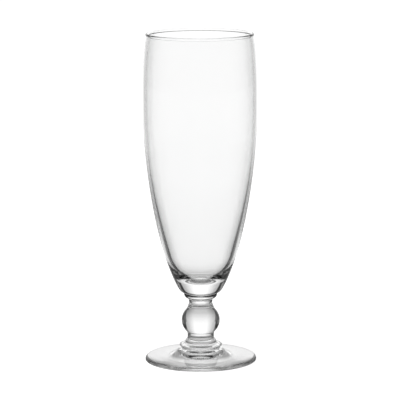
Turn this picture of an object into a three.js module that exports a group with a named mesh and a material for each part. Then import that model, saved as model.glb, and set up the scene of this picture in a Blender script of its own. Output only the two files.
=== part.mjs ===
// Footed juice glass, in millimetres with +Z up. It stands on z = 0 and its axis is Z.
// Five gathers of clear glass are turned on one axis and fused face to face, from the table up:
// a tiered foot, a collar, a ball knop, a second collar and a tall bowl.
import * as THREE from "three";

const { degToRad } = THREE.MathUtils;

// A pull is how far a curve keeps the direction of its end, and a lean is an angle from upright.

// Foot
const footRadius = 30.5;
const footEdge = 1.8; // thickness at the rim, which is fully rounded
const standRingWidth = 3.1; // flat ring that the glass stands on
const kickHeight = 2.9; // hollow under the middle
const kickPull = 9.2;
const kickRingPull = 10.6;
const upperFacePull = 8.65;
const upperFaceRise = 0.36; // over that pull
const lowerTierRadius = 12.55;
const lowerTierHeight = 5.45;
const lowerTierPull = 2.15;
const tierWaistRadius = 10.35; // groove between the tiers
const tierWaistRise = 1.4; // from the lower tier up to the groove
const upperTierRadius = 11.7;
const upperTierRise = 1.4; // from the groove up to the upper tier
const tierEase = 0.65; // share of those rises over which each end stays upright
const shoulderRise = 1.4; // from the upper tier up to the seat
const shoulderPull = 1;
const seatPull = 2;
const seatLean = degToRad(51); // of the shoulder, where it meets the seat

// Foot collar
const footSeatRadius = 8.4;
const footLip = 0.1; // how far the collar stands out past its seat
const footLipHeight = 0.5;
const footCollarRise = 2.6; // from the lip up to the neck
const footCollarEase = 0.54; // share of that rise over which each end stays upright

// Ball knop
const lowerNeckRadius = 7.25;
const lowerNeckLength = 3.1; // from the lower seat up to where the ball starts
const upperNeckRadius = 6.45;
const upperNeckLength = 4;
const lowerNeckPull = 1;
const upperNeckPull = 0.75;
const knopRadius = 10.5;
const knopHalfHeight = 9.3; // the ball is a little flattened
const lowerTurn = degToRad(41.6); // how far the ball runs below its widest place
const upperTurn = degToRad(40.2); // and above it

// Bowl collar
const bowlSeatRadius = 9.05;
const bowlLip = 0.11;
const bowlLipHeight = 0.3;
const bowlCollarRise = 5; // from the neck up to the lip
const bowlCollarEase = 0.67;

// Outside of the bowl
const baseCornerRadius = 11.75;
const baseCornerHeight = 2.37;
const baseCornerPull = 1.95;
const sideLean = degToRad(30.2); // where the side leaves the base
const sidePull = 28.8;
const sideHeight = 100.3; // from the base's corner up to the widest place
const bowlRadius = 30.7; // at the widest place
const bellyPull = 31.7;
const upperPull = 10;
const upperHeight = 40; // from the widest place up to the top of the rim
const mouthRadius = 29.05; // of the rim
const mouthLean = degToRad(7.7);
const mouthPull = 14;
const rimOverhang = 0.3; // how far the rim's bead stands out past the wall

// Inside of the bowl
const wall = 1.35; // from the rim down to the widest place
const insideBellyPull = 34.5;
const insideSidePull = 23.2;
const heelWall = 3.55; // where the side turns into the floor
const heelPlace = 0.24; // share of the outer side curve, from its lower end, that lies opposite the heel
const heelPull = 10.3;
const floorPull = 9.1;
const baseThickness = 6.55; // glass under the floor

const facets = 48; // round the axis

// Outlines are points in (radius, height).
const at = (radius, height) => new THREE.Vector2(radius, height);
const along = (point, way, length) => point.clone().addScaledVector(way, length);

function curve(steps, from, firstHandle, lastHandle, to) {
  return new THREE.CubicBezierCurve(from, firstHandle, lastHandle, to).getPoints(steps);
}

function arc(steps, middle, radius, fromAngle, toAngle) {
  return new THREE.EllipseCurve(middle.x, middle.y, radius, radius, fromAngle, toAngle).getPoints(steps);
}

// Upright at both ends, as a ring runs into a groove.
function ease(steps, from, to, share) {
  const pull = at(0, (to.y - from.y) * share);
  return curve(steps, from, from.clone().add(pull), to.clone().sub(pull), to);
}

function clearGlass() {
  return new THREE.MeshStandardMaterial({
    color: 0xf4f8f7,
    roughness: 0.03,
    metalness: 0,
    transparent: true,
    opacity: 0.35,
  });
}

// The outline runs from the axis, outwards and up, back to the axis.
function turnedPiece(name, height, outline) {
  const points = outline.flat();
  const distinct = points.filter((point, i) => i === 0 || point.distanceTo(points[i - 1]) > 1e-6);
  const geometry = new THREE.LatheGeometry(distinct, facets);
  geometry.rotateX(Math.PI / 2);
  const mesh = new THREE.Mesh(geometry, clearGlass());
  mesh.name = name;
  mesh.userData.height = height;
  return mesh;
}

function makeFoot() {
  const edgeMiddle = at(footRadius - footEdge / 2, footEdge / 2);
  const edgeTop = at(edgeMiddle.x, footEdge);
  const kick = at(0, kickHeight);
  const ring = at(edgeMiddle.x - standRingWidth, 0);
  const lowerTier = at(lowerTierRadius, lowerTierHeight);
  const waist = at(tierWaistRadius, lowerTier.y + tierWaistRise);
  const upperTier = at(upperTierRadius, waist.y + upperTierRise);
  const seat = at(footSeatRadius, upperTier.y + shoulderRise);
  const seatWay = at(Math.sin(seatLean), -Math.cos(seatLean));
  return turnedPiece("foot", seat.y, [
    curve(9, kick, at(kickPull, kick.y), at(ring.x - kickRingPull, 0), ring),
    arc(8, edgeMiddle, footEdge / 2, -Math.PI / 2, Math.PI / 2),
    curve(
      9,
      edgeTop,
      at(edgeTop.x - upperFacePull, edgeTop.y + upperFaceRise),
      at(lowerTier.x, lowerTier.y - lowerTierPull),
      lowerTier,
    ),
    ease(5, lowerTier, waist, tierEase),
    ease(5, waist, upperTier, tierEase),
    curve(5, upperTier, at(upperTier.x, upperTier.y + shoulderPull), along(seat, seatWay, seatPull), seat),
    at(0, seat.y),
  ]);
}

function makeFootCollar() {
  const seat = at(footSeatRadius, 0);
  const lip = at(footSeatRadius + footLip, footLipHeight);
  const neck = at(lowerNeckRadius, footLipHeight + footCollarRise);
  return turnedPiece("foot_collar", neck.y, [
    at(0, 0),
    new THREE.QuadraticBezierCurve(seat, at(lip.x, 0), lip).getPoints(3),
    ease(7, lip, neck, footCollarEase),
    at(0, neck.y),
  ]);
}

function makeBallKnop() {
  const middle = lowerNeckLength + knopHalfHeight * Math.sin(lowerTurn);
  const height = middle + knopHalfHeight * Math.sin(upperTurn) + upperNeckLength;
  const ball = new THREE.EllipseCurve(0, middle, knopRadius, knopHalfHeight, -lowerTurn, upperTurn);
  const low = ball.getPoint(0);
  const high = ball.getPoint(1);
  const lowerNeck = at(lowerNeckRadius, 0);
  const upperNeck = at(upperNeckRadius, height);
  return turnedPiece("ball_knop", height, [
    at(0, 0),
    curve(5, lowerNeck, at(lowerNeck.x, lowerNeckPull), along(low, ball.getTangent(0), -lowerNeckPull), low),
    ball.getPoints(14),
    curve(
      5,
      high,
      along(high, ball.getTangent(1), upperNeckPull),
      at(upperNeck.x, height - upperNeckPull),
      upperNeck,
    ),
    at(0, height),
  ]);
}

function makeBowlCollar() {
  const neck = at(upperNeckRadius, 0);
  const lip = at(bowlSeatRadius + bowlLip, bowlCollarRise);
  const seat = at(bowlSeatRadius, bowlCollarRise + bowlLipHeight);
  return turnedPiece("bowl_collar", seat.y, [
    at(0, 0),
    ease(9, neck, lip, bowlCollarEase),
    new THREE.QuadraticBezierCurve(lip, at(lip.x, seat.y), seat).getPoints(3),
    at(0, seat.y),
  ]);
}

function makeBowl() {
  const seat = at(bowlSeatRadius, 0);
  const corner = at(baseCornerRadius, baseCornerHeight);
  const widest = at(bowlRadius, baseCornerHeight + sideHeight);
  const height = widest.y + upperHeight;
  const sideWay = at(Math.sin(sideLean), Math.cos(sideLean));
  const mouthWay = at(-Math.sin(mouthLean), Math.cos(mouthLean));
  const side = new THREE.CubicBezierCurve(
    corner,
    along(corner, sideWay, sidePull),
    at(widest.x, widest.y - bellyPull),
    widest,
  );

  // The rim's bead is as thick as the wall and its overhang, and flush with the inside.
  const beadRadius = (wall + rimOverhang) / 2;
  const bead = at(mouthRadius - beadRadius, height - beadRadius);
  const beadStart = -Math.acos((beadRadius - rimOverhang) / beadRadius);
  const wallTop = at(mouthRadius - rimOverhang, bead.y + beadRadius * Math.sin(beadStart));

  // The inside keeps the wall's thickness down to the widest place.
  // From there it draws away from the outside, down to the heel.
  const insideTop = at(bead.x - beadRadius, bead.y);
  const insideWidest = at(widest.x - wall, widest.y);
  const heelWay = side.getTangent(heelPlace);
  const heel = along(side.getPoint(heelPlace), at(-heelWay.y, heelWay.x), heelWall);
  return turnedPiece("bowl", height, [
    at(0, 0),
    curve(4, seat, at(seat.x + baseCornerPull, 0), along(corner, sideWay, -baseCornerPull), corner),
    side.getPoints(12),
    curve(7, widest, at(widest.x, widest.y + upperPull), along(wallTop, mouthWay, -mouthPull), wallTop),
    arc(9, bead, beadRadius, beadStart, Math.PI),
    curve(
      6,
      insideTop,
      along(insideTop, mouthWay, -mouthPull),
      at(insideWidest.x, insideWidest.y + upperPull),
      insideWidest,
    ),
    curve(
      11,
      insideWidest,
      at(insideWidest.x, insideWidest.y - insideBellyPull),
      along(heel, heelWay, insideSidePull),
      heel,
    ),
    curve(10, heel, along(heel, heelWay, -heelPull), at(floorPull, baseThickness), at(0, baseThickness)),
  ]);
}

// Each piece stands on the one below it.
const glass = new THREE.Group();
let seatHeight = 0;
for (const piece of [makeFoot(), makeFootCollar(), makeBallKnop(), makeBowlCollar(), makeBowl()]) {
  piece.position.z = seatHeight;
  seatHeight += piece.userData.height;
  glass.add(piece);
}

export default glass;
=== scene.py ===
import math
import bpy
from mathutils import Matrix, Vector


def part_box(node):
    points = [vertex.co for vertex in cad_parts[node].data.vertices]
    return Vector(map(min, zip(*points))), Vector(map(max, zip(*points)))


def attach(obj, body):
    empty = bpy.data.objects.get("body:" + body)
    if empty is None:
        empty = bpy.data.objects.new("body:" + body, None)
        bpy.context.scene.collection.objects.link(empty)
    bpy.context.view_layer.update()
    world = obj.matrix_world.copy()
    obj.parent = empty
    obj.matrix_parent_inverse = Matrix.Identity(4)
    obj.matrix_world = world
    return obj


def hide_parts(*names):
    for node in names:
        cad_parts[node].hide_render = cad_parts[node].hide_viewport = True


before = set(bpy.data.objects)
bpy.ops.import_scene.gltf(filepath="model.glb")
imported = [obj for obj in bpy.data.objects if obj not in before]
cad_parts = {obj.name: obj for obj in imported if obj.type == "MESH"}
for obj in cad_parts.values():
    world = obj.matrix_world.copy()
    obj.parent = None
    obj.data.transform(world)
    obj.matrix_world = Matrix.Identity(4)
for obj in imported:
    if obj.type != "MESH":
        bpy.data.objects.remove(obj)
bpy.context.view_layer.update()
mm = 0.001  # outlines are written in millimetres, the scene is in metres
print("frame:", sorted(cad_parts))


# outlines, as (radius, height) pairs in mm
# A pull is how far a curve keeps the direction of its end, and a lean is an angle from upright.

def bezierPoint(t, *corners):
    weights = ((1 - t) ** 3, 3 * t * (1 - t) ** 2, 3 * t * t * (1 - t), t ** 3)
    return tuple(sum(w * c[k] for w, c in zip(weights, corners)) for k in (0, 1))


def curve(steps, start, firstHandle, lastHandle, end):
    return [bezierPoint(i / steps, start, firstHandle, lastHandle, end) for i in range(steps + 1)]


def ease(steps, start, end, share):  # upright at both ends, each over that share of the rise
    pull = (end[1] - start[1]) * share
    return curve(steps, start, (start[0], start[1] + pull), (end[0], end[1] - pull), end)


def quarter(steps, start, corner, end):  # rounds a corner
    handles = [tuple(p[k] + (corner[k] - p[k]) * 2 / 3 for k in (0, 1)) for p in (start, end)]
    return curve(steps, start, *handles, end)


def arc(steps, middle, radii, startAngle, endAngle):
    points = []
    for i in range(steps + 1):
        a = startAngle + (endAngle - startAngle) * i / steps
        points.append((middle[0] + radii[0] * math.cos(a), middle[1] + radii[1] * math.sin(a)))
    return points


def ahead(point, lean, length):  # a lean to the outside is positive
    return (point[0] + length * math.sin(lean), point[1] + length * math.cos(lean))


def reach(node):  # outer radius, lower seat and upper seat of a CAD node, in mm
    low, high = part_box(node)
    return high.x / mm, low.z / mm, high.z / mm


# small helpers for nodes, materials and objects

def addNode(tree, kind, **settings):
    node = tree.nodes.new(kind)
    for name, value in settings.items():
        setattr(node, name, value)
    return node


def makeMaterial(name):
    material = bpy.data.materials.new(name)
    material.use_nodes = True
    return material, material.node_tree


def makeBareMaterial(name):  # nothing but its output
    material, tree = makeMaterial(name)
    tree.nodes.remove(tree.nodes["Principled BSDF"])
    return material, tree, tree.nodes["Material Output"].inputs["Surface"]


def addObject(name, data):
    thing = bpy.data.objects.new(name, data)
    bpy.context.scene.collection.objects.link(thing)
    return thing


# glass

glassLook = {
    "tint": (0.998, 0.9995, 0.999),
    "ior": 1.51,
    "drawn": (1.0, 1.0, 0.35),  # waves are longer along the axis
    "waveScale": 60.0,
    "waveDetail": 2.0,
    "waveStrength": 0.03,
    "waveHeight": 0.02,
    "hazeScale": 420.0,
    "hazeDetail": 5.0,
    "hazeSpan": (0.35, 0.75),  # noise levels between which the haze grows
    "roughness": (0.0, 0.002),
}


def makeGlass(name, look):
    material, tree = makeMaterial(name)
    shader = tree.nodes["Principled BSDF"]
    shader.inputs["Base Color"].default_value = (*look["tint"], 1)
    shader.inputs["Metallic"].default_value = 0
    shader.inputs["IOR"].default_value = look["ior"]
    shader.inputs["Transmission Weight"].default_value = 1

    # faint drawn-out waviness of hand-finished glass, and a trace of haze
    place = addNode(tree, "ShaderNodeTexCoord")
    drawn = addNode(tree, "ShaderNodeMapping")
    drawn.inputs["Scale"].default_value = look["drawn"]
    waves = addNode(tree, "ShaderNodeTexNoise")
    waves.inputs["Scale"].default_value = look["waveScale"]
    waves.inputs["Detail"].default_value = look["waveDetail"]
    bump = addNode(tree, "ShaderNodeBump")
    bump.inputs["Strength"].default_value = look["waveStrength"]
    bump.inputs["Distance"].default_value = look["waveHeight"] * mm
    haze = addNode(tree, "ShaderNodeTexNoise")
    haze.inputs["Scale"].default_value = look["hazeScale"]
    haze.inputs["Detail"].default_value = look["hazeDetail"]
    rough = addNode(tree, "ShaderNodeMapRange")
    rough.inputs["From Min"].default_value = look["hazeSpan"][0]
    rough.inputs["From Max"].default_value = look["hazeSpan"][1]
    rough.inputs["To Min"].default_value = look["roughness"][0]
    rough.inputs["To Max"].default_value = look["roughness"][1]
    link = tree.links.new
    link(place.outputs["Object"], drawn.inputs["Vector"])
    link(drawn.outputs["Vector"], waves.inputs["Vector"])
    link(waves.outputs["Fac"], bump.inputs["Height"])
    link(bump.outputs["Normal"], shader.inputs["Normal"])
    link(place.outputs["Object"], haze.inputs["Vector"])
    link(haze.outputs["Fac"], rough.inputs["Value"])
    link(rough.outputs["Result"], shader.inputs["Roughness"])
    return material


def makeFusedSeat():  # inside a fused seat the glass runs on, so light goes straight through
    material, tree, surface = makeBareMaterial("fusedSeat")
    through = addNode(tree, "ShaderNodeBsdfTransparent")
    tree.links.new(through.outputs["BSDF"], surface)
    return material


fusedSeat = makeFusedSeat()


# the lathe: turns an outline of edges about Z

turning = {
    "facets": 192,
    "sweepRadius": 50.0,  # of the circle that carries the outline, outside every piece
    "creaseAngle": 28.0,  # sharper edges are not smoothed
    "mergeDistance": 0.002,  # closes a piece at the axis
    "pointGap": 0.0005,  # outline points closer than this are one
    "seatSlack": 1e-6,
    "seatShare": 0.9,  # a face over this is all on a seat
}


def makeLathe(s):
    tree = bpy.data.node_groups.new("glassLathe", "GeometryNodeTree")
    face = tree.interface
    face.new_socket("Outline", in_out="INPUT", socket_type="NodeSocketGeometry")
    face.new_socket("Facets", in_out="INPUT", socket_type="NodeSocketInt")
    face.new_socket("Sweep Radius", in_out="INPUT", socket_type="NodeSocketFloat")
    face.new_socket("Crease Angle", in_out="INPUT", socket_type="NodeSocketFloat")
    face.new_socket("Glass", in_out="INPUT", socket_type="NodeSocketMaterial")
    face.new_socket("Seat", in_out="INPUT", socket_type="NodeSocketMaterial")
    face.new_socket("Piece", in_out="OUTPUT", socket_type="NodeSocketGeometry")
    given = addNode(tree, "NodeGroupInput")
    result = addNode(tree, "NodeGroupOutput")
    outline = addNode(tree, "GeometryNodeMeshToCurve")
    inwards = addNode(tree, "ShaderNodeMath", operation="MULTIPLY")
    inwards.inputs[1].default_value = -1
    offset = addNode(tree, "ShaderNodeCombineXYZ")
    shifted = addNode(tree, "GeometryNodeTransform")
    circle = addNode(tree, "GeometryNodeCurvePrimitiveCircle", mode="RADIUS")
    sweep = addNode(tree, "GeometryNodeCurveToMesh")
    outwards = addNode(tree, "GeometryNodeFlipFaces")
    merged = addNode(tree, "GeometryNodeMergeByDistance")
    merged.inputs["Distance"].default_value = s["mergeDistance"] * mm
    smooth = addNode(tree, "GeometryNodeSetShadeSmooth", domain="FACE")
    angle = addNode(tree, "GeometryNodeInputMeshEdgeAngle")
    sharp = addNode(tree, "FunctionNodeCompare", data_type="FLOAT", operation="GREATER_THAN")
    crease = addNode(tree, "GeometryNodeSetShadeSmooth", domain="EDGE")
    crease.inputs["Shade Smooth"].default_value = False
    isSeat = addNode(tree, "GeometryNodeInputNamedAttribute", data_type="FLOAT")
    isSeat.inputs["Name"].default_value = "seat"
    whole = addNode(tree, "FunctionNodeCompare", data_type="FLOAT", operation="GREATER_THAN")
    whole.inputs["B"].default_value = s["seatShare"]
    realized = addNode(tree, "GeometryNodeRealizeInstances")
    glass = addNode(tree, "GeometryNodeSetMaterial")
    seat = addNode(tree, "GeometryNodeSetMaterial")
    link = tree.links.new
    link(given.outputs["Outline"], outline.inputs["Mesh"])
    link(given.outputs["Sweep Radius"], inwards.inputs[0])
    link(inwards.outputs["Value"], offset.inputs["X"])
    link(outline.outputs["Curve"], shifted.inputs["Geometry"])
    link(offset.outputs["Vector"], shifted.inputs["Translation"])
    link(given.outputs["Facets"], circle.inputs["Resolution"])
    link(given.outputs["Sweep Radius"], circle.inputs["Radius"])
    link(circle.outputs["Curve"], sweep.inputs["Curve"])
    link(shifted.outputs["Geometry"], sweep.inputs["Profile Curve"])
    link(sweep.outputs["Mesh"], outwards.inputs["Mesh"])
    link(outwards.outputs["Mesh"], merged.inputs["Geometry"])
    link(merged.outputs["Geometry"], smooth.inputs["Geometry"])
    link(angle.outputs["Unsigned Angle"], sharp.inputs["A"])
    link(given.outputs["Crease Angle"], sharp.inputs["B"])
    link(smooth.outputs["Geometry"], crease.inputs["Geometry"])
    link(sharp.outputs["Result"], crease.inputs["Selection"])
    link(crease.outputs["Geometry"], realized.inputs["Geometry"])
    link(realized.outputs["Geometry"], glass.inputs["Geometry"])
    link(given.outputs["Glass"], glass.inputs["Material"])
    link(isSeat.outputs["Attribute"], whole.inputs["A"])
    link(glass.outputs["Geometry"], seat.inputs["Geometry"])
    link(whole.outputs["Result"], seat.inputs["Selection"])
    link(given.outputs["Seat"], seat.inputs["Material"])
    link(seat.outputs["Geometry"], result.inputs["Piece"])
    return tree


lathe = makeLathe(turning)


def turnPiece(name, outline, seatHeights, node):
    points = [outline[0]]
    for point in outline[1:]:
        if math.dist(point, points[-1]) > turning["pointGap"]:
            points.append(point)
    mesh = bpy.data.meshes.new(name + "Outline")
    # the sweep lays an outline's X along the radius and its Y downwards
    places = [(r * mm, -z * mm, 0) for r, z in points]
    mesh.from_pydata(places, [(i, i + 1) for i in range(len(places) - 1)], [])
    flags = mesh.attributes.new("seat", "FLOAT", "POINT")
    for i, (_, z) in enumerate(points):
        flags.data[i].value = float(any(abs(z - h) < turning["seatSlack"] for h in seatHeights))
    maker = addObject(name + "Outline", mesh)
    modifier = maker.modifiers.new("lathe", "NODES")
    modifier.node_group = lathe
    wanted = {
        "Facets": turning["facets"],
        "Sweep Radius": turning["sweepRadius"] * mm,
        "Crease Angle": math.radians(turning["creaseAngle"]),
        "Glass": makeGlass(name + "Glass", glassLook),
        "Seat": fusedSeat,
    }
    for item in lathe.interface.items_tree:
        if item.in_out == "INPUT" and item.name in wanted:
            modifier[item.identifier] = wanted[item.name]
    evaluated = maker.evaluated_get(bpy.context.evaluated_depsgraph_get())
    turned = bpy.data.meshes.new_from_object(evaluated)
    turned.name = name
    maker.modifiers.remove(modifier)
    bpy.data.objects.remove(maker)
    piece = addObject(name, turned)
    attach(piece, "root")
    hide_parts(node)
    print(name + ":", len(turned.polygons), "faces,", [m.name for m in turned.materials])


# foot

footShape = {
    "edge": 2.02,  # thickness of the rim
    "edgeWidest": 0.28,  # height of its widest place, with a tight corner below
    "edgeRound": 1.5,  # and a soft one above
    "standRingRadius": 27.0,
    "kickHeight": 2.8,  # hollow under the middle
    "kickPull": 6.3,
    "kickRingPull": 10.1,
    "upperFacePull": 7.7,
    "upperFaceRise": 0.34,
    "lowerTierRadius": 12.55,
    "lowerTierHeight": 5.45,
    "lowerTierPull": 2.15,
    "waistRadius": 10.35,  # groove between the tiers
    "waistRise": 1.4,
    "upperTierRadius": 11.7,
    "upperTierRise": 1.4,
    "tierShare": 0.65,
    "shoulderPull": 1.0,
    "seatRadius": 8.4,
    "seatLean": 51.0,
    "seatPull": 2.0,
    "steps": {"kick": 40, "corner": 12, "edge": 20, "upperFace": 48, "tier": 24, "shoulder": 24},
}


def makeFoot(s):
    radius, _, top = reach("foot")
    steps, corner, rounding = s["steps"], s["edgeWidest"], s["edgeRound"]
    kick = (0, s["kickHeight"])
    ring = (s["standRingRadius"], 0)
    edgeTop = (radius - rounding, s["edge"])
    lowerTier = (s["lowerTierRadius"], s["lowerTierHeight"])
    waist = (s["waistRadius"], lowerTier[1] + s["waistRise"])
    upperTier = (s["upperTierRadius"], waist[1] + s["upperTierRise"])
    seat = (s["seatRadius"], top)
    lean = math.radians(180 - s["seatLean"])
    outline = curve(
        steps["kick"],
        kick,
        (s["kickPull"], kick[1]),
        (ring[0] - s["kickRingPull"], 0),
        ring,
    )
    outline += arc(steps["corner"], (radius - corner, corner), (corner, corner), -math.pi / 2, 0)
    outline += arc(steps["edge"], (edgeTop[0], corner), (rounding, s["edge"] - corner), 0, math.pi / 2)
    outline += curve(
        steps["upperFace"],
        edgeTop,
        (edgeTop[0] - s["upperFacePull"], edgeTop[1] + s["upperFaceRise"]),
        (lowerTier[0], lowerTier[1] - s["lowerTierPull"]),
        lowerTier,
    )
    outline += ease(steps["tier"], lowerTier, waist, s["tierShare"])
    outline += ease(steps["tier"], waist, upperTier, s["tierShare"])
    outline += curve(
        steps["shoulder"],
        upperTier,
        (upperTier[0], upperTier[1] + s["shoulderPull"]),
        ahead(seat, lean, s["seatPull"]),
        seat,
    )
    outline.append((0, top))
    turnPiece("glassFoot", outline, [top], "foot")


makeFoot(footShape)


# collar on the foot

footCollarShape = {
    "seatRadius": footShape["seatRadius"],
    "lipHeight": 0.5,
    "neckRadius": 7.25,
    "share": 0.54,
    "steps": {"lip": 10, "side": 36},
}


def makeFootCollar(s):
    lipRadius, low, top = reach("foot_collar")
    lip = (lipRadius, low + s["lipHeight"])
    outline = [(0, low)]
    outline += quarter(s["steps"]["lip"], (s["seatRadius"], low), (lipRadius, low), lip)
    outline += ease(s["steps"]["side"], lip, (s["neckRadius"], top), s["share"])
    outline.append((0, top))
    turnPiece("footCollar", outline, [low, top], "foot_collar")


makeFootCollar(footCollarShape)


# ball knop

knopShape = {
    "lowerNeckRadius": footCollarShape["neckRadius"],
    "lowerNeckLength": 3.1,
    "upperNeckRadius": 6.45,
    "lowerPull": 1.0,
    "upperPull": 0.75,
    "halfHeight": 9.3,  # the ball is a little flattened
    "lowerTurn": 41.6,  # how far the ball runs below its widest place
    "upperTurn": 40.2,  # and above it
    "steps": {"neck": 20, "ball": 72},
}


def makeBallKnop(s):
    radius, low, top = reach("ball_knop")
    lowerTurn = math.radians(s["lowerTurn"])
    upperTurn = math.radians(s["upperTurn"])
    radii = (radius, s["halfHeight"])
    middle = (0, low + s["lowerNeckLength"] + s["halfHeight"] * math.sin(lowerTurn))
    ball = arc(s["steps"]["ball"], middle, radii, -lowerTurn, upperTurn)

    def leanAt(angle):
        return math.atan2(-radii[0] * math.sin(angle), radii[1] * math.cos(angle))

    lowerNeck = (s["lowerNeckRadius"], low)
    upperNeck = (s["upperNeckRadius"], top)
    outline = [(0, low)]
    outline += curve(
        s["steps"]["neck"],
        lowerNeck,
        (lowerNeck[0], low + s["lowerPull"]),
        ahead(ball[0], leanAt(-lowerTurn), -s["lowerPull"]),
        ball[0],
    )
    outline += ball
    outline += curve(
        s["steps"]["neck"],
        ball[-1],
        ahead(ball[-1], leanAt(upperTurn), s["upperPull"]),
        (upperNeck[0], top - s["upperPull"]),
        upperNeck,
    )
    outline.append((0, top))
    turnPiece("ballKnop", outline, [low, top], "ball_knop")


makeBallKnop(knopShape)


# collar under the bowl

bowlCollarShape = {
    "neckRadius": knopShape["upperNeckRadius"],
    "seatRadius": 9.05,
    "lipHeight": 0.3,
    "share": 0.67,
    "steps": {"side": 40, "lip": 10},
}


def makeBowlCollar(s):
    lipRadius, low, top = reach("bowl_collar")
    lip = (lipRadius, top - s["lipHeight"])
    outline = [(0, low)]
    outline += ease(s["steps"]["side"], (s["neckRadius"], low), lip, s["share"])
    outline += quarter(s["steps"]["lip"], lip, (lipRadius, top), (s["seatRadius"], top))
    outline.append((0, top))
    turnPiece("bowlCollar", outline, [low, top], "bowl_collar")


makeBowlCollar(bowlCollarShape)


# bowl

bowlShape = {
    "seatRadius": bowlCollarShape["seatRadius"],
    "cornerRadius": 12.13,  # where the base turns into the side
    "cornerHeight": 2.47,
    "cornerPull": 1.1,
    "sideLean": 29.65,
    "sidePull": 23.2,
    "sideHeight": 100.2,  # from the corner up to the widest place
    "widestRadius": 31.05,
    "bellyPull": 34.0,
    "upperPull": 10.0,
    "mouthRadius": 29.35,
    "mouthLean": 9.5,
    "mouthPull": 14.0,
    "rimOverhang": 0.45,
    "wall": 1.15,
    "insideBellyPull": 32.7,
    "insideSidePull": 20.7,
    "heelWall": 3.05,  # where the side turns into the floor
    "heelPlace": 0.24,  # share of the outer side curve, from its lower end, opposite the heel
    "heelNudge": 1e-4,  # further along that curve, for its direction there
    "heelPull": 10.2,
    "floorPull": 9.7,
    "baseThickness": 7.08,
    "steps": {"corner": 16, "side": 90, "upper": 36, "bead": 32, "floor": 36},
}


def makeBowl(s):
    _, low, top = reach("bowl")
    steps = s["steps"]
    sideLean = math.radians(s["sideLean"])
    mouthLean = math.radians(-s["mouthLean"])
    seat = (s["seatRadius"], low)
    corner = (s["cornerRadius"], low + s["cornerHeight"])
    widest = (s["widestRadius"], corner[1] + s["sideHeight"])
    lowerHandle = ahead(corner, sideLean, s["sidePull"])
    bellyHandle = (widest[0], widest[1] - s["bellyPull"])
    side = (corner, lowerHandle, bellyHandle, widest)

    # the rim's bead is flush with the inside and overhangs the outside
    bead = (s["wall"] + s["rimOverhang"]) / 2
    beadMiddle = (s["mouthRadius"] - bead, top - bead)
    beadStart = -math.acos((bead - s["rimOverhang"]) / bead)
    wallTop = (s["mouthRadius"] - s["rimOverhang"], beadMiddle[1] + bead * math.sin(beadStart))
    insideTop = (beadMiddle[0] - bead, beadMiddle[1])
    insideWidest = (widest[0] - s["wall"], widest[1])

    # the heel lies square to the outer side, across the thick wall
    here = bezierPoint(s["heelPlace"], *side)
    there = bezierPoint(s["heelPlace"] + s["heelNudge"], *side)
    heelLean = math.atan2(there[0] - here[0], there[1] - here[1])
    heel = ahead(here, heelLean - math.pi / 2, s["heelWall"])
    floorHeight = low + s["baseThickness"]

    outline = [(0, low)]
    outline += curve(
        steps["corner"],
        seat,
        (seat[0] + s["cornerPull"], low),
        ahead(corner, sideLean, -s["cornerPull"]),
        corner,
    )
    outline += curve(steps["side"], *side)
    outline += curve(
        steps["upper"],
        widest,
        (widest[0], widest[1] + s["upperPull"]),
        ahead(wallTop, mouthLean, -s["mouthPull"]),
        wallTop,
    )
    outline += arc(steps["bead"], beadMiddle, (bead, bead), beadStart, math.pi)
    outline += curve(
        steps["upper"],
        insideTop,
        ahead(insideTop, mouthLean, -s["mouthPull"]),
        (insideWidest[0], insideWidest[1] + s["upperPull"]),
        insideWidest,
    )
    outline += curve(
        steps["side"],
        insideWidest,
        (insideWidest[0], insideWidest[1] - s["insideBellyPull"]),
        ahead(heel, heelLean, s["insideSidePull"]),
        heel,
    )
    outline += curve(
        steps["floor"],
        heel,
        ahead(heel, heelLean, -s["heelPull"]),
        (s["floorPull"], floorHeight),
        (0, floorHeight),
    )
    turnPiece("glassBowl", outline, [low], "bowl")


makeBowl(bowlShape)


# studio: a pale floor that runs out to white, and soft light

studio = {
    "floorColor": (0.82, 0.82, 0.82),
    "floorLift": 0.62,
    "floorHalf": 6.0,
    "floorDrop": 0.1,  # mm, a hair under the foot
    "worldSeen": 1.0,
    "worldLight": 0.55,
    "lampPower": 3.0,
    "lampSize": 0.6,
    "lampPlace": (-0.25, -0.15, 0.9),
}


def seenThroughGlass(tree):  # 1 for camera, glossy and transmission rays
    path = addNode(tree, "ShaderNodeLightPath")
    first = addNode(tree, "ShaderNodeMath", operation="MAXIMUM")
    second = addNode(tree, "ShaderNodeMath", operation="MAXIMUM")
    tree.links.new(path.outputs["Is Camera Ray"], first.inputs[0])
    tree.links.new(path.outputs["Is Glossy Ray"], first.inputs[1])
    tree.links.new(first.outputs["Value"], second.inputs[0])
    tree.links.new(path.outputs["Is Transmission Ray"], second.inputs[1])
    return second.outputs["Value"]


def makeWorld(s):
    world = bpy.data.worlds.new("whiteStudio")
    world.use_nodes = True
    tree = world.node_tree
    background = tree.nodes["Background"]
    background.inputs["Color"].default_value = (1, 1, 1, 1)
    strength = addNode(tree, "ShaderNodeMapRange")
    strength.inputs["To Min"].default_value = s["worldLight"]
    strength.inputs["To Max"].default_value = s["worldSeen"]
    tree.links.new(seenThroughGlass(tree), strength.inputs["Value"])
    tree.links.new(strength.outputs["Result"], background.inputs["Strength"])
    bpy.context.scene.world = world


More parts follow.
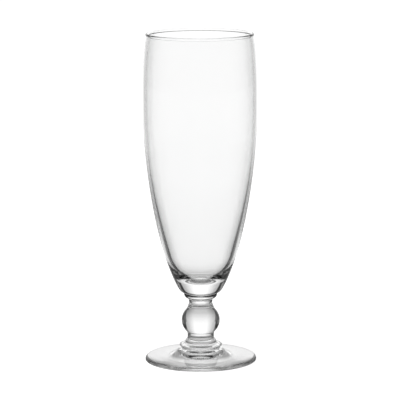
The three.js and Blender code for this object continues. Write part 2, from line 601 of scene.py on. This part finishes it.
def makeFloor(s):
    mesh = bpy.data.meshes.new("floor")
    half, level = s["floorHalf"], -s["floorDrop"] * mm
    corners = [(-half, -half, level), (half, -half, level), (half, half, level), (-half, half, level)]
    mesh.from_pydata(corners, [], [(0, 1, 2, 3)])
    floor = addObject("floor", mesh)
    material, tree, surface = makeBareMaterial("paleFloor")
    matte = addNode(tree, "ShaderNodeBsdfDiffuse")
    matte.inputs["Color"].default_value = (*s["floorColor"], 1)
    lift = addNode(tree, "ShaderNodeEmission")
    scale = addNode(tree, "ShaderNodeMath", operation="MULTIPLY")
    scale.inputs[1].default_value = s["floorLift"]
    both = addNode(tree, "ShaderNodeAddShader")
    tree.links.new(seenThroughGlass(tree), scale.inputs[0])
    tree.links.new(scale.outputs["Value"], lift.inputs["Strength"])
    tree.links.new(matte.outputs["BSDF"], both.inputs[0])
    tree.links.new(lift.outputs["Emission"], both.inputs[1])
    tree.links.new(both.outputs["Shader"], surface)
    mesh.materials.append(material)


def makeLamp(s):
    light = bpy.data.lights.new("softLamp", "AREA")
    light.energy = s["lampPower"]
    light.size = s["lampSize"]
    lamp = addObject("softLamp", light)
    lamp.location = s["lampPlace"]
    lamp.rotation_mode = "QUATERNION"
    lamp.rotation_quaternion = lamp.location.to_track_quat("Z", "Y")


makeWorld(studio)
makeFloor(studio)
makeLamp(studio)
print("studio: floor, world and lamp")


# camera, fitted to the photograph

view = {
    "place": (0.0, -1.236, 0.3042),
    "pitch": 9.888,
    "roll": -0.19,
    "sensor": 36.0,
    "lens": 207.1,
    "shift": (-0.0008, 0.0),
}


def makeCamera(s):
    data = bpy.data.cameras.new("camera")
    data.sensor_width = s["sensor"]
    data.lens = s["lens"]
    data.shift_x, data.shift_y = s["shift"]
    camera = addObject("camera", data)
    camera.location = s["place"]
    tilt = Matrix.Rotation(math.radians(90 - s["pitch"]), 3, "X")
    roll = Matrix.Rotation(math.radians(s["roll"]), 3, "Z")
    camera.rotation_euler = (tilt @ roll).to_euler()
    bpy.context.scene.camera = camera
    return camera


camera = makeCamera(view)
print("studio: camera")


# bright field, as glassware is photographed: white behind the glass and dark beside it
# The camera doesn't see its cards, which turn about the glass with the camera.
# A turn gives greys by degrees from straight behind the glass, and an away by metres from its middle;
# on the mats near the middle these greys are painted shade and painted shadow of the foot.

backdrop = (  # ends abruptly on both sides
    (0, 1.12), (12, 1.12), (18, 0.95), (24, 0.78), (30, 0.62), (38, 0.55), (40.5, 0.07),
)

brightField = {
    "segments": 96,
    "radius": 0.5,
    "height": 0.8,
    "drop": 0.05,  # mm, between the floor and the foot
    "footMiddle": 0.018,
    "footEdge": 0.031,
    # painted shade under the foot: the mats beneath it are greyer than the floor, by degrees round the
    # glass
    "middleShadeTurn": ((0, 0.18), (60, 0.26), (100, 0.58), (140, 0.84), (180, 0.87)),
    "ringShadeTurn": ((0, 0.3), (30, 0.6), (60, 0.65), (90, 0.65), (120, 0.42), (180, 0.52)),
    "matTurn": (
        (0, 1.12), (12, 1.12), (18, 0.96), (24, 0.8), (34, 0.6),
        (36.5, 0.18), (48, 0.12), (62, 0.06), (180, 0.03),
    ),
    # painted shadow of the glass round its foot: the mat darkens towards the middle, most within about
    # 0.1 m
    "matFootShadowAway": (
        (0, 0.38), (0.031, 0.38), (0.045, 0.52), (0.06, 0.7),
        (0.09, 0.84), (0.15, 0.92), (0.3, 0.96), (0.5, 1.0),
    ),
    "bandTop": 0.1,  # the wall is lighter beside the glass up to here
    "bandTurn": backdrop + ((48, 0.1), (62, 0.3), (100, 0.2), (180, 0.1)),
    "wallTurn": backdrop + ((48, 0.03), (180, 0.06)),
    "wallAway": ((0, 1), (0.66, 1), (0.72, 0.3), (0.95, 0.2)),
    "lidTurn": ((0, 0.65), (30, 0.45), (60, 0.2), (100, 0.06), (180, 0.08)),
}


def addRamp(tree, source, stops):
    whole = stops[-1][0]
    share = addNode(tree, "ShaderNodeMath", operation="DIVIDE")
    share.inputs[1].default_value = whole
    ramp = addNode(tree, "ShaderNodeValToRGB")
    elements = ramp.color_ramp.elements
    elements.remove(elements[1])
    for i, (place, grey) in enumerate(stops):
        stop = elements[0] if i == 0 else elements.new(place / whole)
        stop.position = place / whole
        stop.color = (grey, grey, grey, 1)
    tree.links.new(source, share.inputs[0])
    tree.links.new(share.outputs["Value"], ramp.inputs["Fac"])
    return ramp.outputs["Color"]


def makeGradedCard(name, rings, turn, away, segments):
    points, faces = [], []
    for radius, height in rings:
        for i in range(segments):
            a = 2 * math.pi * i / segments
            points.append((radius * math.sin(a), radius * math.cos(a), height))
    for i in range(segments):
        j = (i + 1) % segments
        faces.append((i, j, j + segments, i + segments))
    mesh = bpy.data.meshes.new(name)
    mesh.from_pydata(points, [], faces)
    card = addObject(name, mesh)
    material, tree, surface = makeBareMaterial(name)
    place = addNode(tree, "ShaderNodeTexCoord")
    parts = addNode(tree, "ShaderNodeSeparateXYZ")
    angle = addNode(tree, "ShaderNodeMath", operation="ARCTAN2")
    size = addNode(tree, "ShaderNodeMath", operation="ABSOLUTE")
    distance = addNode(tree, "ShaderNodeVectorMath", operation="LENGTH")
    both = addNode(tree, "ShaderNodeVectorMath", operation="MULTIPLY")
    glow = addNode(tree, "ShaderNodeEmission")
    turnStops = [(math.radians(degrees), grey) for degrees, grey in turn]
    link = tree.links.new
    link(place.outputs["Object"], parts.inputs["Vector"])
    link(place.outputs["Object"], distance.inputs[0])
    link(parts.outputs["X"], angle.inputs[0])
    link(parts.outputs["Y"], angle.inputs[1])
    link(angle.outputs["Value"], size.inputs[0])
    link(addRamp(tree, size.outputs["Value"], turnStops), both.inputs[0])
    link(addRamp(tree, distance.outputs["Value"], away), both.inputs[1])
    link(both.outputs["Vector"], glow.inputs["Color"])
    link(glow.outputs["Emission"], surface)
    mesh.materials.append(material)
    card.visible_camera = False
    card.visible_diffuse = False
    card.visible_shadow = False
    facing = card.constraints.new("LOCKED_TRACK")
    facing.target = camera
    facing.track_axis = "TRACK_NEGATIVE_Y"
    facing.lock_axis = "LOCK_Z"


def makeBrightField(s):
    level = -s["drop"] * mm
    plain = ((0, 1), (1, 1))
    edge, band, top = s["radius"], s["bandTop"], s["height"]
    middle, foot = s["footMiddle"], s["footEdge"]
    cards = (
        # these two mats under the foot carry painted shade
        ("underFootShadeMat", ((0, level), (middle, level)), s["middleShadeTurn"], plain),
        ("footRingShadeMat", ((middle, level), (foot, level)), s["ringShadeTurn"], plain),
        # this mat carries the foot's painted shadow round the middle
        ("gradedMatFootShadow", ((foot, level), (edge, level)), s["matTurn"], s["matFootShadowAway"]),
        ("gradedBand", ((edge, level), (edge, band)), s["bandTurn"], plain),
        ("gradedWall", ((edge, band), (edge, top)), s["wallTurn"], s["wallAway"]),
        ("gradedLid", ((edge, top), (0, top)), s["lidTurn"], plain),
    )
    for name, rings, turn, away in cards:
        makeGradedCard(name, rings, turn, away, s["segments"])


makeBrightField(brightField)
print("studio: bright field")

scene = bpy.context.scene
scene.view_settings.view_transform = "Standard"
scene.cycles.max_bounces = 32
scene.cycles.transmission_bounces = 32
scene.cycles.glossy_bounces = 16
scene.cycles.transparent_max_bounces = 32
